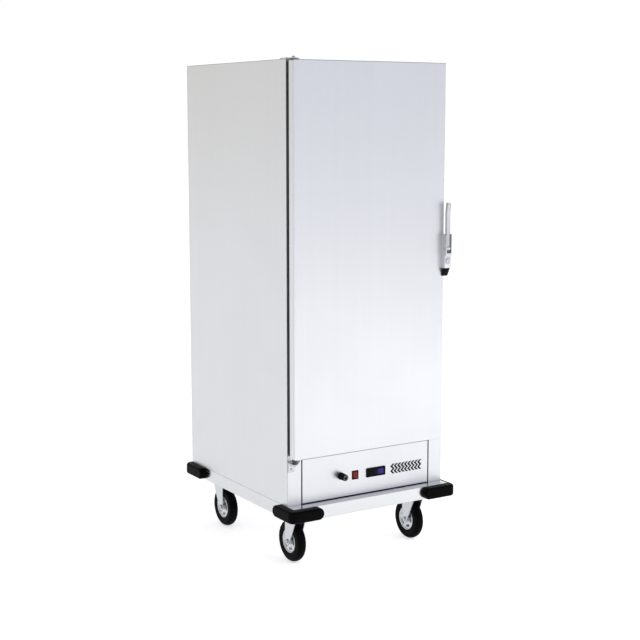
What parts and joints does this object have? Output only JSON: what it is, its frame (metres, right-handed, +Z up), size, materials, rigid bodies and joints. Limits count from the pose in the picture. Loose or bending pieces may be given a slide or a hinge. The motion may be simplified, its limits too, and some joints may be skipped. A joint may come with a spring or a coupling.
{
  "type": "proofing cabinet",
  "caption": "Tall insulated proofing cabinet with a pivot-hung door, lever latch, front controls, rack of tray slides, corner bumpers and swivel castors.",
  "frame": {"origin": "middle of the cabinet's footprint, bumpers and latch included, on the floor under the wheels", "axes": "+X to the right of someone facing the door, -Y to the front, +Z up"},
  "size_m": [0.75, 0.8784, 1.8735],
  "materials": {
    "casing_steel": "satin stainless sheet, fine upright grain",
    "chassis_steel": "bright stainless tray",
    "liner_steel": "mill-finish stainless",
    "fitting_steel": "satin stainless castings and plate",
    "zinc_steel": "bright zinc-plated pressings",
    "fasteners": "plain stainless fasteners",
    "lock_chrome": "chromed lock plug",
    "heater_sheath": "heat-stained element sheath",
    "motor_paint": "dark enamel",
    "foam": "rigid polyurethane foam",
    "bush_acetal": "dark grey acetal bearing plastic",
    "black_plastic": "fine-textured black plastic",
    "red_plastic": "translucent red plastic",
    "display_lens": "tinted display lens",
    "gasket_rubber": "black seal",
    "bumper_rubber": "black moulded rubber",
    "tyre_rubber": "black rubber tread"
  },
  "bodies": {
    "cabinet": {"air_heater": "heater_sheath", "back_panel": "casing_steel", "bay_frame": "casing_steel", "body_insulation": "foam", "bumper_front_left": "bumper_rubber", "bumper_front_right": "bumper_rubber", "bumper_rear_left": "bumper_rubber", "bumper_rear_right": "bumper_rubber", "castor_bolts": "fasteners", "castor_plates": "zinc_steel", "cavity_liner": "liner_steel", "chassis_tray": "chassis_steel", "control_panel": "casing_steel", "cord_gland": "black_plastic", "display_housing": "black_plastic", "display_window": "display_lens", "fan_motor": "motor_paint", "floor_grille": "liner_steel", "frame_screws": "fasteners", "front_frame": "casing_steel", "hinge_brackets": "fitting_steel", "hinge_pins": "fitting_steel", "latch_keeper": "fitting_steel", "rocker_housing": "black_plastic", "side_panel_left": "casing_steel", "side_panel_right": "casing_steel", "thermostat": "black_plastic", "top_panel": "casing_steel", "tray_racks": "liner_steel", "water_pan": "liner_steel"},
    "door": {"door_skin": "casing_steel", "door_liner": "liner_steel", "door_insulation": "foam", "door_gasket": "gasket_rubber", "pivot_blocks": "fitting_steel", "pivot_bushes": "bush_acetal", "latch_housing": "fitting_steel", "latch_foot": "black_plastic", "latch_pin": "fasteners"},
    "latch_lever": {"latch_lever": "fitting_steel"},
    "lock_plug": {"lock_plug": "lock_chrome"},
    "control_knob": {"control_knob": "black_plastic"},
    "rocker": {"rocker_paddle": "red_plastic"},
    "fan": {"fan_impeller": "liner_steel"},
    "castor_front_left_swivel": {"castor_front_left_fork": "zinc_steel", "castor_front_left_axle": "fasteners"},
    "castor_front_left_wheel": {"castor_front_left_rim": "zinc_steel", "castor_front_left_tyre": "tyre_rubber"},
    "castor_front_right_swivel": {"castor_front_right_fork": "zinc_steel", "castor_front_right_axle": "fasteners"},
    "castor_front_right_wheel": {"castor_front_right_rim": "zinc_steel", "castor_front_right_tyre": "tyre_rubber"},
    "castor_rear_left_swivel": {"castor_rear_left_fork": "zinc_steel", "castor_rear_left_axle": "fasteners"},
    "castor_rear_left_wheel": {"castor_rear_left_rim": "zinc_steel", "castor_rear_left_tyre": "tyre_rubber"},
    "castor_rear_right_swivel": {"castor_rear_right_fork": "zinc_steel", "castor_rear_right_axle": "fasteners"},
    "castor_rear_right_wheel": {"castor_rear_right_rim": "zinc_steel", "castor_rear_right_tyre": "tyre_rubber"}
  },
  "joints": [
    {"name": "door_swing", "type": "hinge", "parent": "cabinet", "child": "door", "pos_m": [-0.34, -0.39585, 1.1461], "axis": [0, 0, -1], "range_deg": [0, 180]},
    {"name": "latch_lever_turn", "type": "hinge", "parent": "door", "child": "latch_lever", "pos_m": [0.3175, -0.42885, 1.1715], "axis": [1, 0, 0], "range_deg": [0, 50], "stiffness_Nm_per_rad": 0.4, "springref_deg": -11.46},
    {"name": "lock_turn", "type": "hinge", "parent": "door", "child": "lock_plug", "pos_m": [0.319, -0.43115, 1.1225], "axis": [0, -1, 0], "range_deg": [0, 90]},
    {"name": "knob_turn", "type": "hinge", "parent": "cabinet", "child": "control_knob", "pos_m": [-0.117, -0.37785, 0.3305], "axis": [0, 1, 0], "range_deg": [0, 270]},
    {"name": "rocker_tilt", "type": "hinge", "parent": "cabinet", "child": "rocker", "pos_m": [-0.0527, -0.36035, 0.3255], "axis": [1, 0, 0], "range_deg": [0, 16]},
    {"name": "fan_spin", "type": "hinge", "parent": "cabinet", "child": "fan", "pos_m": [0.13, -0.00085, 0.4585], "axis": [0, 0, 1], "continuous": true},
    {"name": "castor_front_left_turn", "type": "hinge", "parent": "cabinet", "child": "castor_front_left_swivel", "pos_m": [-0.2715, -0.29885, 0.1845], "axis": [0, 0, 1], "continuous": true},
    {"name": "castor_front_left_roll", "type": "hinge", "parent": "castor_front_left_swivel", "child": "castor_front_left_wheel", "pos_m": [-0.2715, -0.26285, 0.08], "axis": [1, 0, 0], "continuous": true},
    {"name": "castor_front_right_turn", "type": "hinge", "parent": "cabinet", "child": "castor_front_right_swivel", "pos_m": [0.2715, -0.29885, 0.1845], "axis": [0, 0, 1], "continuous": true},
    {"name": "castor_front_right_roll", "type": "hinge", "parent": "castor_front_right_swivel", "child": "castor_front_right_wheel", "pos_m": [0.2715, -0.26285, 0.08], "axis": [1, 0, 0], "continuous": true},
    {"name": "castor_rear_left_turn", "type": "hinge", "parent": "cabinet", "child": "castor_rear_left_swivel", "pos_m": [-0.2715, 0.30715, 0.1845], "axis": [0, 0, 1], "continuous": true},
    {"name": "castor_rear_left_roll", "type": "hinge", "parent": "castor_rear_left_swivel", "child": "castor_rear_left_wheel", "pos_m": [-0.2715, 0.27115, 0.08], "axis": [1, 0, 0], "continuous": true},
    {"name": "castor_rear_right_turn", "type": "hinge", "parent": "cabinet", "child": "castor_rear_right_swivel", "pos_m": [0.2715, 0.30715, 0.1845], "axis": [0, 0, 1], "continuous": true},
    {"name": "castor_rear_right_roll", "type": "hinge", "parent": "castor_rear_right_swivel", "child": "castor_rear_right_wheel", "pos_m": [0.2715, 0.27115, 0.08], "axis": [1, 0, 0], "continuous": true}
  ]
}
